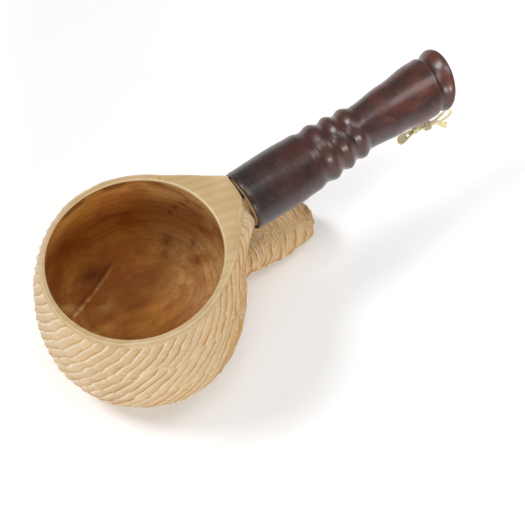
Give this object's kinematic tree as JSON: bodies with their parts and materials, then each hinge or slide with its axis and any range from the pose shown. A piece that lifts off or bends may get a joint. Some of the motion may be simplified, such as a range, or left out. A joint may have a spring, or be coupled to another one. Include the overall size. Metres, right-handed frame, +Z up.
{
  "type": "kuksa cup with sheath handle",
  "caption": "Carved birch drinking cup whose handle is a ridged leather knife sheath, with a heel under the handle and a rawhide thong.",
  "frame": {"origin": "centre of the cup's flat base, on the surface that it stands on", "axes": "+Z up through the cup's mouth, +X from the cup along the handle, +Y to the left of the handle"},
  "size_m": [0.2319, 0.103, 0.0818],
  "materials": {
    "birch": "oiled, gouge-carved",
    "liner_birch": "bare, smooth",
    "dark_leather": "wet-formed, waxed, glossy",
    "thread": "waxed linen",
    "rawhide": "bare rawhide",
    "antler": "satin"
  },
  "bodies": {
    "kuksa": {"cup_body": "birch", "liner_left": "liner_birch", "liner_right": "liner_birch", "leather_sleeve": "dark_leather", "seam_thread": "thread", "thong_strand_near": "rawhide", "thong_strand_far": "rawhide", "thong_tails": "rawhide", "thong_knot": "rawhide", "thong_tab": "rawhide"},
    "bead": {"thong_bead": "antler"}
  },
  "joints": [
    {"name": "bead_slide", "type": "slide", "parent": "kuksa", "child": "bead", "axis": [0.9806, -0.196, 0], "range_m": [-0.001, 0.003]}
  ]
}
